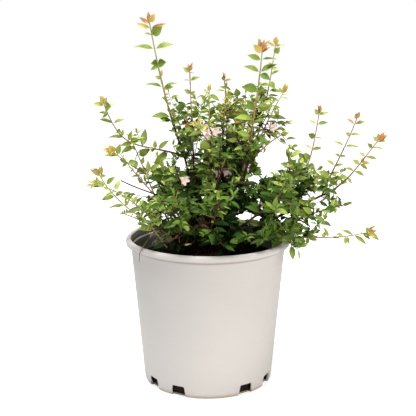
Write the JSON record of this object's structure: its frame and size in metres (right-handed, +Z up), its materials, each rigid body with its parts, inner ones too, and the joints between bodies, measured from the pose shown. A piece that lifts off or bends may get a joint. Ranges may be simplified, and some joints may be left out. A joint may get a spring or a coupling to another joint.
{
  "type": "potted beautybush",
  "caption": "Young beautybush in a pale nursery pot: upright and arching stems from a woody crown, opposite leaves with bronze young tips, and a few small pale pink bells.",
  "frame": {"origin": "centre of the pot's flat underside", "axes": "+Z up along the pot's axis, +X the side that the shrub leans and reaches to, -Y the front"},
  "size_m": [0.4734, 0.3858, 0.6133],
  "materials": {
    "pot_plastic": "pale warm grey moulded polypropylene with a satin sheen and light scuffs",
    "potting_mix": "moist dark peat and bark fines",
    "bark": "thin brown shreddy bark, darker at the foot",
    "leaf": "soft matt green leaves, yellow-green to bronze at the tips",
    "dead_wood": "dry dark bare twig"
  },
  "bodies": {
    "root": {"pot": "pot_plastic", "potting_mix": "potting_mix", "root_crown": "bark", "limb_tall_left": "bark", "limb_top_left": "bark", "limb_top_mid": "bark", "limb_tall_right": "bark", "limb_tall_back": "bark", "limb_left_back": "bark", "limb_left_mid": "bark", "limb_left_low": "bark", "limb_front_left": "bark", "limb_front": "bark", "limb_front_right": "bark", "limb_right_low": "bark", "limb_right_reach": "bark", "limb_right_up": "bark", "limb_back_right": "bark", "limb_back": "bark", "limb_back_left": "bark", "dead_twig_left": "dead_wood", "mass_tall_left": "leaf", "mass_left_arch": "leaf", "mass_top_left": "leaf", "mass_top_centre": "leaf", "mass_top_mid": "leaf", "mass_top_front": "leaf", "mass_tall_right": "leaf", "mass_top_right": "leaf", "mass_thin_right": "leaf", "mass_tall_back": "leaf", "mass_back_spur": "leaf", "mass_left_mid": "leaf", "mass_left_fork": "leaf", "mass_left_low": "leaf", "mass_left_spray": "leaf", "mass_left_skirt": "leaf", "mass_left_back": "leaf", "mass_inner_left": "leaf", "mass_back_left": "leaf", "mass_back_left_up": "leaf", "mass_back": "leaf", "mass_back_up": "leaf", "mass_back_right": "leaf", "mass_back_right_up": "leaf", "mass_right_up": "leaf", "mass_right_back": "leaf", "mass_right_far": "leaf", "mass_right_reach": "leaf", "mass_right_inner": "leaf", "mass_right_mid": "leaf", "mass_right_low": "leaf", "mass_right_skirt": "leaf", "mass_front_right": "leaf", "mass_front_right_up": "leaf", "mass_front_right_low": "leaf", "mass_front": "leaf", "mass_front_up": "leaf", "mass_front_left": "leaf", "mass_front_left_up": "leaf"}
  },
  "joints": []
}
